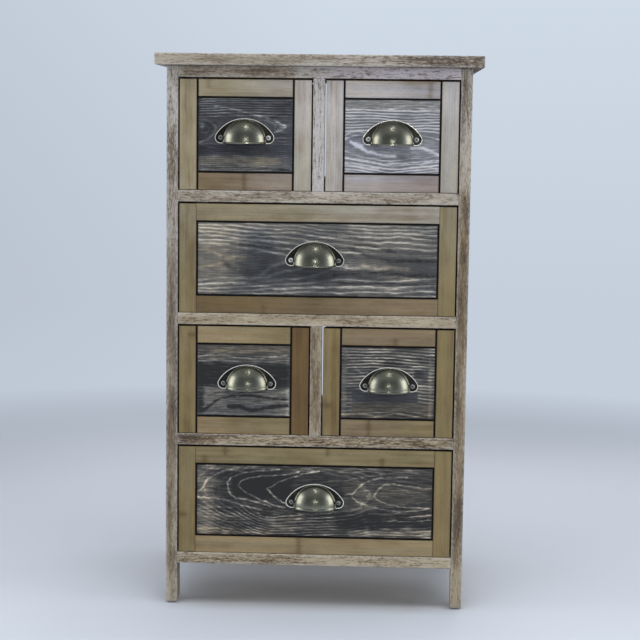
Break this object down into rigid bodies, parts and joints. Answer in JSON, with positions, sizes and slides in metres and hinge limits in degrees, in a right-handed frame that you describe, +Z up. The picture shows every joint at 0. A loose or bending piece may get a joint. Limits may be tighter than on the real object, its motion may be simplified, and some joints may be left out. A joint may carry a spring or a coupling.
{
  "type": "chest of drawers",
  "caption": "Narrow standing chest with paired and wide inset drawers in a weathered post and rail case, each drawer with a limed panel and a cup pull.",
  "frame": {"origin": "on the floor, in the middle of the whole chest in X and Y, pulls included", "axes": "+X to the right seen from the front, +Y from the drawer fronts to the back, +Z up"},
  "size_m": [0.45, 0.3234, 0.775],
  "materials": {
    "frame_wood": "weathered, limewashed paulownia",
    "top_wood": "weathered, limewashed paulownia",
    "bamboo_strip": "oiled bamboo strip",
    "limed_panel": "dark stain, wire brushed and limed",
    "black_board": "matt black stain",
    "plain_wood": "bare, sanded",
    "thin_board": "bare plywood",
    "dowel_wood": "bare beech",
    "aged_bronze": "antique patina, burnished high spots",
    "screw_steel": "bright zinc plate",
    "glide_plastic": "satin"
  },
  "bodies": {
    "case": {"top_board": "top_wood", "left_front_post": "frame_wood", "right_front_post": "frame_wood", "left_back_post": "frame_wood", "right_back_post": "frame_wood", "left_side_panel": "frame_wood", "right_side_panel": "frame_wood", "side_rails": "frame_wood", "bottom_rail": "frame_wood", "lower_rail": "frame_wood", "middle_rail": "frame_wood", "upper_rail": "frame_wood", "top_rail": "frame_wood", "front_dividers": "frame_wood", "back_rails": "frame_wood", "drawer_runners": "plain_wood", "foot_glides": "glide_plastic", "frame_dowels": "dowel_wood"},
    "bottom_drawer": {"bottom_front_board": "black_board", "bottom_face_strips": "bamboo_strip", "bottom_face_panel": "limed_panel", "bottom_box_walls": "plain_wood", "bottom_box_bottom": "thin_board", "bottom_pull": "aged_bronze", "bottom_pull_screws": "screw_steel"},
    "lower_left_drawer": {"lower_left_front_board": "black_board", "lower_left_face_strips": "bamboo_strip", "lower_left_face_panel": "limed_panel", "lower_left_box_walls": "plain_wood", "lower_left_box_bottom": "thin_board", "lower_left_pull": "aged_bronze", "lower_left_pull_screws": "screw_steel"},
    "lower_right_drawer": {"lower_right_front_board": "black_board", "lower_right_face_strips": "bamboo_strip", "lower_right_face_panel": "limed_panel", "lower_right_box_walls": "plain_wood", "lower_right_box_bottom": "thin_board", "lower_right_pull": "aged_bronze", "lower_right_pull_screws": "screw_steel"},
    "upper_drawer": {"upper_front_board": "black_board", "upper_face_strips": "bamboo_strip", "upper_face_panel": "limed_panel", "upper_box_walls": "plain_wood", "upper_box_bottom": "thin_board", "upper_pull": "aged_bronze", "upper_pull_screws": "screw_steel"},
    "top_left_drawer": {"top_left_front_board": "black_board", "top_left_face_strips": "bamboo_strip", "top_left_face_panel": "limed_panel", "top_left_box_walls": "plain_wood", "top_left_box_bottom": "thin_board", "top_left_pull": "aged_bronze", "top_left_pull_screws": "screw_steel"},
    "top_right_drawer": {"top_right_front_board": "black_board", "top_right_face_strips": "bamboo_strip", "top_right_face_panel": "limed_panel", "top_right_box_walls": "plain_wood", "top_right_box_bottom": "thin_board", "top_right_pull": "aged_bronze", "top_right_pull_screws": "screw_steel"}
  },
  "joints": [
    {"name": "bottom_slide", "type": "slide", "parent": "case", "child": "bottom_drawer", "axis": [0, -1, 0], "range_m": [0, 0.2]},
    {"name": "lower_left_slide", "type": "slide", "parent": "case", "child": "lower_left_drawer", "axis": [0, -1, 0], "range_m": [0, 0.2]},
    {"name": "lower_right_slide", "type": "slide", "parent": "case", "child": "lower_right_drawer", "axis": [0, -1, 0], "range_m": [0, 0.2]},
    {"name": "upper_slide", "type": "slide", "parent": "case", "child": "upper_drawer", "axis": [0, -1, 0], "range_m": [0, 0.2]},
    {"name": "top_left_slide", "type": "slide", "parent": "case", "child": "top_left_drawer", "axis": [0, -1, 0], "range_m": [0, 0.2]},
    {"name": "top_right_slide", "type": "slide", "parent": "case", "child": "top_right_drawer", "axis": [0, -1, 0], "range_m": [0, 0.2]}
  ]
}
